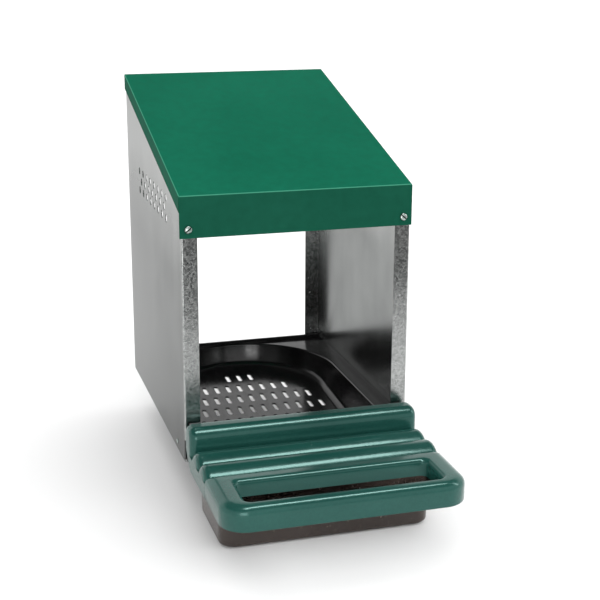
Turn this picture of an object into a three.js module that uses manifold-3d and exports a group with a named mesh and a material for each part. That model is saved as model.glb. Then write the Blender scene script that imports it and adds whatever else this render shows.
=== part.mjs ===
// Roll-away nest box for laying hens: a galvanised steel body with a sloped cap, a plastic tray whose
// floor runs down to the front, a perch that folds up and closes the entrance, and a slide-out egg tub.
// Millimetres, +Z up, +X to the right, +Y towards the wall that the nest hangs on.
// Lengths below count Y from the front face back and Z from the lower edge of the side panels up.
// The finished group is then moved so that its origin is on the wall face of the cap's rear lip.
import * as THREE from 'three';
import { mergeVertices } from 'three/addons/utils/BufferGeometryUtils.js';
import Module from 'manifold-3d';

// Body
const WIDTH = 300;
const DEPTH = 390;
const REAR_HEIGHT = 450;
const FRONT_HEIGHT = 345;
const SHEET = 1;
const GAP = 0.3;
const FOLD = 2;
const FRONT_FLANGE = 22;
const REAR_FLANGE = 24;
const BOTTOM_FLANGE = 15;
const FLANGE_FOOT = 52;

// Cap
const FASCIA = 53;
const LIP = 22;
const CORNER_RELIEF = 3;

// Fasteners
const SCREW_INSET = 11;
const SCREW_HEAD = 4.7;
const SCREW_HEAD_HEIGHT = 2.4;
const SCREW_SHANK = 2.2;
const SCREW_LENGTH = 9;
const NUT_ACROSS_CORNERS = 9.2;
const NUT_THICK = 3.8;
const RIVET_SHANK = 2;
const RIVET_HEAD = 3.4;
const RIVET_HEAD_HEIGHT = 0.9;
const HOLE_PLAY = 0.35;
const WALL_HOLE = 3.2;
const WALL_HOLES_Z = [240, 400];

// Vents
const VENT_RADIUS = 5.2;
const VENT_PITCH = 27.8;
const VENT_ROW_STEP = 13.5;
const VENT_ROWS = [8, 7, 8];
const VENT_CENTRE_Y = 190;
const VENT_TOP_Z = 325;

// Tray
const TRAY_HALF_WIDTH = 147.3;
const TRAY_FRONT = 4.5;
const TRAY_REAR = 384;
const TRAY_WALL = 2.5;
const RIM_Z = 25;
const UPSTAND_Z = 30.5;
const BOWL_RADIUS = 128;
const BOWL_CENTRE_Y = 252;
const BOWL_DRAFT = 14;
const FLOOR_FRONT_Z = -26;
const FLOOR_REAR_Z = -6;
const TONGUE_END = -19;
const TONGUE_SIDE_Z = -14;
const SLOT_PITCH = 17.4;
const SLOT_ROW_PITCH = 39.5;
const SLOT_LENGTH = 26;
const SLOT_WIDTH = 6;
const SLOT_FIRST_ROW_Y = 320;
const SLOT_ROWS = 8;
const SLOT_FIELD_HALF_WIDTH = 97;
const SLOT_FIELD_CENTRE_Y = 213;
const SLOT_FIELD_REACH = 113;
const TAB_OUTER = 148.4;
const TAB_INNER = 146;
const TAB_FRONT = 1.8;
const TAB_REAR = 5.7;
const TAB_LOW_Z = 3.5;
const TAB_HIGH_Z = 29;

// Perch
const PERCH_WALL = 3;
const PERCH_REACH = 221;
const PERCH_BOTTOM_Z = 3;
const PIVOT_Y = -22;
const PIVOT_Z = 44;
const NECK_ROLL = { y: -22, half: 18, radius: 14, top: 58 };
const STEP_ROLL_RADIUS = 26;
const STEP_ROLL_TOP = 36;
const STEP_ROLLS_Y = [-60, -98];
const FRAME_REAR_Y = -116;
const FRAME_BAR = 30;
const FRAME_FRONT_BAR = 17;
const FRAME_SPRING_Z = 22;
const FRAME_CREST_Z = 33.5;
const FRAME_OUTER_ROUND = 15;
const FRAME_INNER_ROUND = 6;
const FRAME_FRONT_CORNER = 32;
const FRAME_REAR_CORNER = 5;
const OPENING_CORNER = 9;
const OPENING_WALL_LOW_Z = 12;
const RIB_X = [-75, 0, 75];
const RIB_THICK = 2.5;
const RIB_LOW_Z = 22;

// Hinge and brackets
const ROD_RADIUS = 3;
const ROD_HALF_LENGTH = 146.5;
const BRACKET_OUTER = 142.2;
const BRACKET_THICK = 4;
const BRACKET_BOSS = 9;
const BRACKET_REAR = 66;
const BRACKET_END = -130;
const BRACKET_LOW_Z = -8;
const BRACKET_TOP_Z = 19;
const LEDGE_TOP_Z = -5.4;
const LEDGE_REACH = 2.6;
const BRACKET_RIVET_Y = 50;
const BRACKET_RIVET_Z = 10;
const CLIP_RADIUS = 6.5;
const CLIP_THICK = 1.2;

// Egg tub
const TUB_TOP_Z = -2.6;
const TUB_BOTTOM_Z = -60;
const TUB_REAR_Y = -14.5;
const TUB_FRONT_Y = -135;
const TUB_HALF_WIDTH = 135;
const TUB_DRAFT = 1.5;
const TUB_WALL = 2.2;
const TUB_FLANGE = 2.9;
const TUB_FLANGE_THICK = 2.4;
const TUB_CORNER = 18;
const TUB_DIP_HALF_WIDTH = 122;
const TUB_DIP_Z = -33;

// Rear tie bar
const TIE_LOW_Z = 2;
const TIE_HIGH_Z = 22;
const TIE_LEDGE = 9;
const TIE_RIVET_X = 136;
const TIE_RIVET_Z = 12;

const ROUND = 16;
const HALF = WIDTH / 2;
const PANEL_OUTER = HALF - SHEET - GAP;
const PANEL_INNER = PANEL_OUTER - SHEET;
const FLANGE_FACE_Y = SHEET + GAP;
const REAR_FACE_Y = DEPTH - SHEET - GAP;
const ROOF_SLOPE = (REAR_HEIGHT - FRONT_HEIGHT) / DEPTH;
const SCREW_Z = FRONT_HEIGHT - FASCIA + SCREW_INSET;
const SCREW_X = HALF - SCREW_INSET;
const BRACKET_INNER = BRACKET_OUTER - BRACKET_THICK;

const wasm = await Module();
wasm.setup();

const finish = {
  zinc: new THREE.MeshStandardMaterial({ color: 0xa9aeac, roughness: 0.4, metalness: 0.9 }),
  bright: new THREE.MeshStandardMaterial({ color: 0xc2c6c7, roughness: 0.3, metalness: 1 }),
  green_paint: new THREE.MeshStandardMaterial({ color: 0x1f7358, roughness: 0.45, metalness: 0.1 }),
  green_plastic: new THREE.MeshStandardMaterial({ color: 0x2f6f5e, roughness: 0.25, metalness: 0 }),
  black_plastic: new THREE.MeshStandardMaterial({ color: 0x111111, roughness: 0.2, metalness: 0 }),
  brown_plastic: new THREE.MeshStandardMaterial({ color: 0x3f3532, roughness: 0.25, metalness: 0 }),
};

// A closed three.js geometry as a solid that can be joined and cut.
function solid(geometry) {
  const bare = geometry.clone();
  bare.deleteAttribute('normal');
  bare.deleteAttribute('uv');
  const merged = mergeVertices(bare, 1e-4);
  return new wasm.Manifold(new wasm.Mesh({
    numProp: 3,
    vertProperties: new Float32Array(merged.attributes.position.array),
    triVerts: new Uint32Array(merged.index.array),
  }));
}

function part(name, shape, material) {
  const { vertProperties, triVerts, numProp } = shape.getMesh();
  const positions = new Float32Array((vertProperties.length / numProp) * 3);
  for (let i = 0; i < positions.length / 3; i += 1) {
    for (let k = 0; k < 3; k += 1) positions[3 * i + k] = vertProperties[numProp * i + k];
  }
  const geometry = new THREE.BufferGeometry();
  geometry.setAttribute('position', new THREE.BufferAttribute(positions, 3));
  geometry.setIndex(new THREE.BufferAttribute(new Uint32Array(triVerts), 1));
  geometry.computeVertexNormals();
  const mesh = new THREE.Mesh(geometry, material);
  mesh.name = name;
  return mesh;
}

// A box between two opposite corners, in any order.
function box(xa, xb, ya, yb, za, zb) {
  const geometry = new THREE.BoxGeometry(Math.abs(xb - xa), Math.abs(yb - ya), Math.abs(zb - za));
  geometry.translate((xa + xb) / 2, (ya + yb) / 2, (za + zb) / 2);
  return solid(geometry);
}

function extrude(points, length) {
  const shape = new THREE.Shape(points.map(([a, b]) => new THREE.Vector2(a, b)));
  return new THREE.ExtrudeGeometry(shape, { depth: length, bevelEnabled: false });
}

// A prism along X whose outline is given as [y, z] points.
function prismX(points, xa, xb) {
  const geometry = extrude(points, Math.abs(xb - xa));
  geometry.applyMatrix4(new THREE.Matrix4().makeBasis(
    new THREE.Vector3(0, 1, 0), new THREE.Vector3(0, 0, 1), new THREE.Vector3(1, 0, 0)));
  geometry.translate(Math.min(xa, xb), 0, 0);
  return solid(geometry);
}

// A prism along Z whose outline is given as [x, y] points.
function prismZ(points, za, zb) {
  const geometry = extrude(points, Math.abs(zb - za));
  geometry.translate(0, 0, Math.min(za, zb));
  return solid(geometry);
}

function rodX(radius, xa, xb, y, z, sides = ROUND) {
  const geometry = new THREE.CylinderGeometry(radius, radius, Math.abs(xb - xa), sides);
  geometry.rotateZ(Math.PI / 2);
  geometry.translate((xa + xb) / 2, y, z);
  return solid(geometry);
}

function rodY(radius, ya, yb, x, z, sides = ROUND) {
  const geometry = new THREE.CylinderGeometry(radius, radius, Math.abs(yb - ya), sides);
  geometry.translate(x, (ya + yb) / 2, z);
  return solid(geometry);
}

function join(...shapes) {
  return shapes.reduce((all, next) => all.add(next));
}

// Skins a stack of convex outlines, each with the same number of [x, y] points, and closes both ends.
function loft(outlines, heights) {
  const count = outlines[0].length;
  const positions = [];
  const index = [];
  outlines.forEach((outline, level) => {
    outline.forEach(([x, y]) => positions.push(x, y, heights[level]));
  });
  for (let level = 0; level < outlines.length - 1; level += 1) {
    for (let i = 0; i < count; i += 1) {
      const a = level * count + i;
      const b = level * count + ((i + 1) % count);
      index.push(a, b, b + count, a, b + count, a + count);
    }
  }
  const last = (outlines.length - 1) * count;
  for (let i = 1; i < count - 1; i += 1) {
    index.push(0, i + 1, i);
    index.push(last, last + i, last + i + 1);
  }
  const geometry = new THREE.BufferGeometry();
  geometry.setAttribute('position', new THREE.Float32BufferAttribute(positions, 3));
  geometry.setIndex(index);
  return solid(geometry);
}

function arc(cx, cy, radius, from, to, steps) {
  const points = [];
  for (let i = 0; i <= steps; i += 1) {
    const angle = THREE.MathUtils.degToRad(from + ((to - from) * i) / steps);
    points.push([cx + radius * Math.cos(angle), cy + radius * Math.sin(angle)]);
  }
  return points;
}

// A rectangle with its own radius at the front and the rear corners, counterclockwise from above.
function roundedRectangle(halfWidth, front, rear, frontRadius, rearRadius, steps = 4) {
  return [
    ...arc(-halfWidth + frontRadius, front + frontRadius, frontRadius, 180, 270, steps),
    ...arc(halfWidth - frontRadius, front + frontRadius, frontRadius, 270, 360, steps),
    ...arc(halfWidth - rearRadius, rear - rearRadius, rearRadius, 0, 90, steps),
    ...arc(-halfWidth + rearRadius, rear - rearRadius, rearRadius, 90, 180, steps),
  ];
}

function roofZ(y) {
  return FRONT_HEIGHT + ROOF_SLOPE * y;
}

// ---- Side panels ----

// The panel seen from above: the wall between two flanges folded inwards, both folds rounded.
function panelPlan(side) {
  const outer = FOLD + SHEET / 2;
  const inner = outer - SHEET;
  const cx = PANEL_OUTER - outer;
  const front = FLANGE_FACE_Y + outer;
  const rear = REAR_FACE_Y - outer;
  const points = [
    [HALF - FRONT_FLANGE, FLANGE_FACE_Y],
    ...arc(cx, front, outer, 270, 360, 4),
    ...arc(cx, rear, outer, 0, 90, 4),
    [HALF - REAR_FLANGE, REAR_FACE_Y],
    [HALF - REAR_FLANGE, REAR_FACE_Y - SHEET],
    ...arc(cx, rear, inner, 90, 0, 4),
    ...arc(cx, front, inner, 0, -90, 4),
    [HALF - FRONT_FLANGE, FLANGE_FACE_Y + SHEET],
  ];
  return points.map(([x, y]) => [side * x, y]);
}

function ventHoles(side) {
  const holes = [];
  VENT_ROWS.forEach((count, row) => {
    for (let i = 0; i < count; i += 1) {
      const y = VENT_CENTRE_Y + (i - (count - 1) / 2) * VENT_PITCH;
      const z = VENT_TOP_Z - row * VENT_ROW_STEP;
      holes.push(rodX(VENT_RADIUS, side * (PANEL_INNER - 1), side * (PANEL_OUTER + 1), y, z, 8));
    }
  });
  return join(...holes);
}

function sidePanel(side) {
  const margin = SHEET * 1.4;
  const above = [[-5, roofZ(-5) - margin], [DEPTH + 5, roofZ(DEPTH + 5) - margin],
    [DEPTH + 5, REAR_HEIGHT + 50], [-5, REAR_HEIGHT + 50]];
  const stripInner = BRACKET_OUTER + GAP;
  const flangeInner = PANEL_OUTER - BOTTOM_FLANGE;
  const wall = prismZ(panelPlan(side), 0, REAR_HEIGHT)
    .add(box(side * flangeInner, side * (PANEL_OUTER - SHEET / 2), 20, 365, 0, SHEET));
  const cuts = join(
    prismX(above, side * (HALF - 60), side * (HALF + 5)),
    box(side * (HALF - 60), side * stripInner, 0, FLANGE_FACE_Y + SHEET + GAP, -1, FLANGE_FOOT),
    box(side * (TAB_INNER - GAP), side * (PANEL_OUTER + 1), 0, TAB_REAR + GAP,
      TAB_LOW_Z - GAP, TAB_HIGH_Z + GAP),
    ventHoles(side),
    rodY(SCREW_SHANK + HOLE_PLAY, 0, 5, side * SCREW_X, SCREW_Z),
    rodX(RIVET_SHANK + HOLE_PLAY, side * (PANEL_INNER - 1), side * (PANEL_OUTER + 1),
      BRACKET_RIVET_Y, BRACKET_RIVET_Z),
    rodY(RIVET_SHANK + HOLE_PLAY, DEPTH - 5, DEPTH, side * TIE_RIVET_X, TIE_RIVET_Z),
    ...WALL_HOLES_Z.map((z) => rodY(WALL_HOLE, DEPTH - 5, DEPTH, side * TIE_RIVET_X, z)),
  );
  return wall.subtract(cuts);
}

// ---- Cap ----

function roofCap() {
  const inner = SHEET * Math.hypot(1, ROOF_SLOPE);
  const band = [
    [0, FRONT_HEIGHT - FASCIA], [0, FRONT_HEIGHT - 1.2], [0.5, FRONT_HEIGHT - 0.2], [1.2, roofZ(1.2)],
    [DEPTH - 1.2, roofZ(DEPTH - 1.2)], [DEPTH - 0.4, REAR_HEIGHT - 0.7], [DEPTH, REAR_HEIGHT - 1.5],
    [DEPTH, REAR_HEIGHT - LIP], [DEPTH - SHEET, REAR_HEIGHT - LIP],
    [DEPTH - SHEET, roofZ(DEPTH - SHEET) - inner], [SHEET, roofZ(SHEET) - inner],
    [SHEET, FRONT_HEIGHT - FASCIA],
  ];
  const lip = [
    [CORNER_RELIEF, roofZ(CORNER_RELIEF) - LIP], [CORNER_RELIEF, roofZ(CORNER_RELIEF)],
    [DEPTH - CORNER_RELIEF, roofZ(DEPTH - CORNER_RELIEF)],
    [DEPTH - CORNER_RELIEF, roofZ(DEPTH - CORNER_RELIEF) - LIP],
  ];
  const below = lip.map(([y, z]) => [y, z - 0.01]);
  let cap = prismX(band, -HALF, HALF);
  for (const side of [-1, 1]) {
    cap = cap.add(prismX(below, side * HALF, side * (HALF - SHEET)));
    cap = cap.subtract(rodY(SCREW_SHANK + HOLE_PLAY, -1, 1.2, side * SCREW_X, SCREW_Z));
  }
  return cap;
}

// ---- Fasteners ----

function roofScrew(side) {
  const x = side * SCREW_X;
  const profile = [[0, 0], [SCREW_HEAD, 0], [SCREW_HEAD, 0.9], [SCREW_HEAD - 0.7, 1.9],
    [SCREW_HEAD - 2, SCREW_HEAD_HEIGHT], [0, SCREW_HEAD_HEIGHT]];
  const lathe = new THREE.LatheGeometry(profile.map(([r, h]) => new THREE.Vector2(r, h)), ROUND);
  lathe.rotateX(Math.PI);
  lathe.translate(x, -GAP, SCREW_Z);
  const slot = new THREE.BoxGeometry(SCREW_HEAD * 3, 1.6, 1.3);
  slot.rotateY(THREE.MathUtils.degToRad(side * 40));
  slot.translate(x, -GAP - SCREW_HEAD_HEIGHT - 0.1, SCREW_Z);
  return solid(lathe).subtract(solid(slot))
    .add(rodY(SCREW_SHANK, -GAP - 0.5, SCREW_LENGTH, x, SCREW_Z));
}

function roofNut(side) {
  const front = FLANGE_FACE_Y + SHEET + GAP;
  return rodY(NUT_ACROSS_CORNERS / 2, front, front + NUT_THICK, side * SCREW_X, SCREW_Z, 6)
    .subtract(rodY(SCREW_SHANK + HOLE_PLAY, front - 1, front + NUT_THICK + 1, side * SCREW_X, SCREW_Z));
}

function bracketRivet(side) {
  const outerFace = PANEL_OUTER + GAP;
  const innerFace = BRACKET_INNER - GAP;
  const piece = (radius, from, to) => rodX(radius, side * from, side * to, BRACKET_RIVET_Y, BRACKET_RIVET_Z);
  return join(
    piece(RIVET_SHANK, innerFace - 0.5, outerFace + 0.5),
    piece(RIVET_HEAD, outerFace, outerFace + RIVET_HEAD_HEIGHT),
    piece(RIVET_HEAD, innerFace - RIVET_HEAD_HEIGHT, innerFace),
  );
}

function tieRivet(side) {
  const x = side * TIE_RIVET_X;
  const outerFace = REAR_FACE_Y + GAP;
  const innerFace = REAR_FACE_Y - 2 * SHEET - 2 * GAP;
  return join(
    rodY(RIVET_SHANK, innerFace - 0.5, outerFace + 0.5, x, TIE_RIVET_Z),
    rodY(RIVET_HEAD, outerFace, outerFace + RIVET_HEAD_HEIGHT, x, TIE_RIVET_Z),
    rodY(RIVET_HEAD, innerFace - RIVET_HEAD_HEIGHT, innerFace, x, TIE_RIVET_Z),
  );
}

function rearTieBar() {
  const back = REAR_FACE_Y - SHEET - GAP;
  const angle = [
    [back, TIE_HIGH_Z], [back - SHEET, TIE_HIGH_Z], [back - SHEET, TIE_LOW_Z + SHEET],
    [back - TIE_LEDGE, TIE_LOW_Z + SHEET], [back - TIE_LEDGE, TIE_LOW_Z], [back, TIE_LOW_Z],
  ];
  let bar = prismX(angle, -PANEL_INNER + 2.5, PANEL_INNER - 2.5);
  for (const side of [-1, 1]) {
    bar = bar.subtract(rodY(RIVET_SHANK + HOLE_PLAY, back - 4, back + 1, side * TIE_RIVET_X, TIE_RIVET_Z));
  }
  return bar;
}

// ---- Tray ----

// The bowl from above: straight sides that run out at the front and a half circle at the rear.
function bowlOutline(radius, front) {
  return [[-radius, front], [radius, front], ...arc(0, BOWL_CENTRE_Y, radius, 0, 180, 24)];
}

function floorZ(y) {
  return FLOOR_FRONT_Z + ((FLOOR_REAR_Z - FLOOR_FRONT_Z) * y) / (BOWL_CENTRE_Y + BOWL_RADIUS);
}

// The bowl's drafted walls down to a sloping floor; grow thickens it outwards by the tray's wall.
function bowlBody(grow, front) {
  const deep = -40;
  const wide = BOWL_RADIUS + grow;
  const narrow = wide - BOWL_DRAFT * ((RIM_Z + 1 - deep) / (RIM_Z - FLOOR_FRONT_Z));
  const walls = loft([bowlOutline(narrow, front), bowlOutline(wide, front)], [deep, RIM_Z + 1]);
  const under = [[-60, deep - 20], [420, deep - 20], [420, floorZ(420) - grow], [-60, floorZ(-60) - grow]];
  return walls.subtract(prismX(under, -HALF, HALF));
}

// Pierces the floor with rows of long slots, every other row moved by half a pitch.
function floorSlots() {
  const slots = [];
  const half = SLOT_LENGTH / 2 - SLOT_WIDTH / 2;
  for (let row = 0; row < SLOT_ROWS; row += 1) {
    const y = SLOT_FIRST_ROW_Y - row * SLOT_ROW_PITCH;
    const beyond = Math.max(0, y - SLOT_FIELD_CENTRE_Y) / SLOT_FIELD_REACH;
    const room = SLOT_FIELD_HALF_WIDTH * Math.sqrt(1 - beyond * beyond);
    const shift = row % 2 === 0 ? 0 : SLOT_PITCH / 2;
    for (let x = shift - 8 * SLOT_PITCH; x < room; x += SLOT_PITCH) {
      if (x < -room) continue;
      const outline = [
        ...arc(x, y + half, SLOT_WIDTH / 2, 0, 180, 2),
        ...arc(x, y - half, SLOT_WIDTH / 2, 180, 360, 2),
      ];
      slots.push(prismZ(outline, -50, 10));
    }
  }
  return join(...slots);
}

function nestTray() {
  const skirtFront = 70;
  const rimLow = RIM_Z - TRAY_WALL;
  let tray = box(-TRAY_HALF_WIDTH, TRAY_HALF_WIDTH, TRAY_FRONT, TRAY_REAR, rimLow, RIM_Z);
  tray = join(
    tray,
    bowlBody(TRAY_WALL, TRAY_FRONT),
    bowlBody(TRAY_WALL, TONGUE_END).subtract(box(-HALF, HALF, -60, 420, TONGUE_SIDE_Z, 60)),
    box(-TRAY_HALF_WIDTH + 2, TRAY_HALF_WIDTH - 2, TRAY_REAR - TRAY_WALL, TRAY_REAR,
      TIE_LOW_Z + SHEET + GAP, UPSTAND_Z),
  );
  for (const side of [-1, 1]) {
    const outer = side * TRAY_HALF_WIDTH;
    tray = join(
      tray,
      box(outer, side * (TRAY_HALF_WIDTH - TRAY_WALL), skirtFront, 370, SHEET + GAP, RIM_Z),
      box(outer, side * (TRAY_HALF_WIDTH - 1.8), TRAY_FRONT, TRAY_REAR, rimLow, UPSTAND_Z),
      box(side * TAB_OUTER, side * TAB_INNER, TAB_FRONT, TAB_REAR, TAB_LOW_Z, TAB_HIGH_Z),
      box(outer, side * TAB_INNER, TAB_REAR - 1, TAB_REAR + 5, TAB_LOW_Z, TAB_HIGH_Z),
    );
  }
  return tray.subtract(join(bowlBody(0, -60), floorSlots()));
}

// ---- Brackets ----

// One plate carries the hinge rod on a boss and, lower down, the ledge that the tub slides on.
function perchBracket(side) {
  const foot = SHEET + 2 * GAP;
  const plate = [
    [BRACKET_REAR, foot], [BRACKET_REAR, BRACKET_TOP_Z], [PIVOT_Y + 4.5, BRACKET_TOP_Z],
    [PIVOT_Y + 4.5, PIVOT_Z - 6],
    ...arc(PIVOT_Y, PIVOT_Z, BRACKET_BOSS, -50, 230, 16),
    [PIVOT_Y - 8, BRACKET_TOP_Z], [BRACKET_END + 6, BRACKET_TOP_Z], [BRACKET_END, BRACKET_TOP_Z - 4],
    [BRACKET_END, BRACKET_LOW_Z], [8, BRACKET_LOW_Z], [16, foot],
  ];
  const inner = side * BRACKET_INNER;
  const padOuter = side * (PANEL_INNER - GAP);
  const through = side * (BRACKET_INNER - 1);
  return prismX(plate, inner, side * BRACKET_OUTER)
    .add(box(inner - side * LEDGE_REACH, inner + side, -12, BRACKET_END, BRACKET_LOW_Z, LEDGE_TOP_Z))
    .add(box(side * (BRACKET_OUTER - 1), padOuter, BRACKET_REAR - 32, BRACKET_REAR, foot, BRACKET_TOP_Z))
    .subtract(rodX(ROD_RADIUS + 0.5, through, side * PANEL_OUTER, PIVOT_Y, PIVOT_Z))
    .subtract(rodX(RIVET_SHANK + HOLE_PLAY, through, side * PANEL_OUTER, BRACKET_RIVET_Y, BRACKET_RIVET_Z));
}

function hingeRod() {
  return rodX(ROD_RADIUS, -ROD_HALF_LENGTH, ROD_HALF_LENGTH, PIVOT_Y, PIVOT_Z);
}

function rodClip(side) {
  const outer = side * (BRACKET_INNER - 0.6);
  const inner = side * (BRACKET_INNER - 0.6 - CLIP_THICK);
  return rodX(CLIP_RADIUS, inner, outer, PIVOT_Y, PIVOT_Z)
    .subtract(rodX(ROD_RADIUS + HOLE_PLAY, inner - side, outer + side, PIVOT_Y, PIVOT_Z));
}

// ---- Perch ----

// Height of the rolls' outer surface at y, or of the surface inset below it.
function rollZ(y, inset) {
  const neckFlat = NECK_ROLL.half - NECK_ROLL.radius;
  const neckRadius = NECK_ROLL.radius - inset;
  const offNeck = Math.max(0, Math.abs(y - NECK_ROLL.y) - neckFlat);
  const neckCentre = NECK_ROLL.top - NECK_ROLL.radius;
  const heights = [FRAME_SPRING_Z];
  if (offNeck <= neckRadius) heights.push(neckCentre + Math.sqrt(neckRadius ** 2 - offNeck ** 2));
  for (const centre of STEP_ROLLS_Y) {
    const off = y - centre;
    const radius = STEP_ROLL_RADIUS - inset;
    const rollCentre = STEP_ROLL_TOP - STEP_ROLL_RADIUS;
    if (Math.abs(off) < radius) heights.push(rollCentre + Math.sqrt(radius ** 2 - off ** 2));
  }
  return Math.max(...heights);
}

// The rolls in section, from the neck roll's rear face to the frame; inset gives the hollow inside.
function rollSection(inset) {
  const rear = NECK_ROLL.y + NECK_ROLL.half - inset;
  const front = FRAME_REAR_Y - 4;
  const neckFront = NECK_ROLL.y - NECK_ROLL.half + inset;
  const low = inset > 0 ? -20 : PERCH_BOTTOM_Z;
  const bottom = inset > 0
    ? [[front, low], [rear, low]]
    : [[front, low], [rear - 32, low], [rear, 31]];
  const top = [];
  for (let i = 0; i <= 12; i += 1) {
    const y = rear - ((rear - neckFront) * (1 - Math.cos((Math.PI * i) / 12))) / 2;
    top.push([y, rollZ(y, inset)]);
  }
  for (let i = 0; i <= 16; i += 1) {
    const y = neckFront - 0.05 - ((neckFront - 0.05 - front) * i) / 16;
    top.push([y, rollZ(y, inset)]);
  }
  return [...top, ...bottom];
}

// The frame: a bar with a rounded top all the way round the opening, a little narrower at the front.
function frameOutline(inset) {
  return roundedRectangle(HALF - inset, -PERCH_REACH + inset, FRAME_REAR_Y - inset,
    FRAME_FRONT_CORNER - inset, Math.max(1, FRAME_REAR_CORNER - inset));
}

function openingOutline(outset) {
  return roundedRectangle(HALF - FRAME_BAR + outset, -PERCH_REACH + FRAME_FRONT_BAR - outset,
    FRAME_REAR_Y - FRAME_BAR + outset, OPENING_CORNER + outset, OPENING_CORNER + outset);
}

function frameRing(wall, low) {
  const crest = FRAME_CREST_Z - wall;
  const outerSpring = FRAME_SPRING_Z - wall / 2;
  const innerSpring = FRAME_CREST_Z - FRAME_INNER_ROUND - wall / 2;
  const outer = [frameOutline(wall)];
  const inner = [openingOutline(wall)];
  const outerHeights = [low];
  const innerHeights = [low - 5];
  for (let i = 0; i <= 5; i += 1) {
    const angle = (Math.PI / 2) * (i / 5) * 0.93;
    const round = 1 - Math.cos(angle);
    outer.push(frameOutline(wall + (FRAME_OUTER_ROUND - wall) * round));
    inner.push(openingOutline(wall + (FRAME_INNER_ROUND - wall) * round));
    outerHeights.push(outerSpring + (crest - outerSpring) * Math.sin(angle));
    innerHeights.push(innerSpring + (crest - innerSpring) * Math.sin(angle));
  }
  inner.push(inner[inner.length - 1]);
  innerHeights.push(FRAME_CREST_Z + 5);
  return loft(outer, outerHeights).subtract(loft(inner, innerHeights));
}

function perch() {
  const rolls = prismX(rollSection(0), -HALF, HALF);
  const shell = rolls.add(frameRing(0, PERCH_BOTTOM_Z));
  const insideWall = HALF - PERCH_WALL;
  const hollow = prismX(rollSection(PERCH_WALL), -insideWall, insideWall)
    .subtract(box(-HALF, HALF, FRAME_REAR_Y - 20, FRAME_REAR_Y - 1, -30, 60))
    .add(box(-insideWall, insideWall, FRAME_REAR_Y - 8, FRAME_REAR_Y + 2, -20, FRAME_SPRING_Z - 1))
    .add(frameRing(PERCH_WALL, -20));
  let shape = shell.subtract(hollow);
  for (const x of RIB_X) {
    const slice = box(x - RIB_THICK / 2, x + RIB_THICK / 2, FRAME_REAR_Y, -5, RIB_LOW_Z, 60);
    shape = shape.add(rolls.intersect(slice));
  }
  shape = shape.subtract(prismZ(openingOutline(PERCH_WALL + GAP), 0, OPENING_WALL_LOW_Z));
  const rodRoom = ROD_HALF_LENGTH + 0.4;
  shape = shape.subtract(rodX(ROD_RADIUS + HOLE_PLAY, -rodRoom, rodRoom, PIVOT_Y, PIVOT_Z));
  for (const side of [-1, 1]) {
    const slit = box(side * (BRACKET_INNER - 3), side * (BRACKET_OUTER + 1), -10, 0, 20, PIVOT_Z + 7);
    shape = shape.subtract(slit);
  }
  return shape;
}

// ---- Egg tub ----

function tubOutline(draft, inset) {
  return roundedRectangle(TUB_HALF_WIDTH - draft - inset, TUB_FRONT_Y + draft + inset,
    TUB_REAR_Y - draft - inset, TUB_CORNER - inset, 12 - inset);
}

function eggTub() {
  const floor = TUB_BOTTOM_Z + TUB_WALL;
  const shell = loft(
    [tubOutline(TUB_DRAFT + 5, 0), tubOutline(TUB_DRAFT + 1.5, 0),
      tubOutline(TUB_DRAFT, 0), tubOutline(0, 0)],
    [TUB_BOTTOM_Z, TUB_BOTTOM_Z + 1.5, TUB_BOTTOM_Z + 6, TUB_TOP_Z]);
  const space = loft(
    [tubOutline(TUB_DRAFT + 4, TUB_WALL), tubOutline(TUB_DRAFT + 1, TUB_WALL),
      tubOutline(TUB_DRAFT, TUB_WALL), tubOutline(0, TUB_WALL)],
    [floor, floor + 1.5, floor + 5, TUB_TOP_Z + 1]);
  const rim = prismZ(roundedRectangle(TUB_HALF_WIDTH + TUB_FLANGE, TUB_FRONT_Y - TUB_FLANGE, TUB_REAR_Y,
    TUB_CORNER + TUB_FLANGE, 12), TUB_TOP_Z - TUB_FLANGE_THICK, TUB_TOP_Z);
  const dip = box(-TUB_DIP_HALF_WIDTH, TUB_DIP_HALF_WIDTH, TUB_REAR_Y - 14, TUB_REAR_Y + 5, TUB_DIP_Z, 5);
  return shell.add(rim).subtract(space).subtract(dip);
}

// ---- Assembly ----

const nest = new THREE.Group();
nest.position.set(0, -DEPTH, -(REAR_HEIGHT - LIP / 2));
nest.add(part('roof_cap', roofCap(), finish.green_paint));
nest.add(part('nest_tray', nestTray(), finish.black_plastic));
nest.add(part('rear_tie_bar', rearTieBar(), finish.zinc));
nest.add(part('hinge_rod', hingeRod(), finish.bright));
nest.add(part('perch', perch(), finish.green_plastic));
nest.add(part('egg_tub', eggTub(), finish.brown_plastic));
for (const [hand, side] of [['left', -1], ['right', 1]]) {
  nest.add(part(`side_panel_${hand}`, sidePanel(side), finish.zinc));
  nest.add(part(`roof_screw_${hand}`, roofScrew(side), finish.bright));
  nest.add(part(`roof_nut_${hand}`, roofNut(side), finish.bright));
  nest.add(part(`perch_bracket_${hand}`, perchBracket(side), finish.black_plastic));
  nest.add(part(`bracket_rivet_${hand}`, bracketRivet(side), finish.bright));
  nest.add(part(`rod_clip_${hand}`, rodClip(side), finish.bright));
  nest.add(part(`tie_rivet_${hand}`, tieRivet(side), finish.bright));
}

export default nest;
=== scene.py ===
"""Looks for the wall-hung roll-away nest box.

Fine surfaces are built in millimetres on the CAD source's own axes: X to the right, Y from the front
face back to the wall, Z up from the lower edge of the side panels. They are moved to the row frame,
in metres, once they are finished.
"""

import math

import bmesh
import bpy
from mathutils import Matrix, Vector


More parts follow.
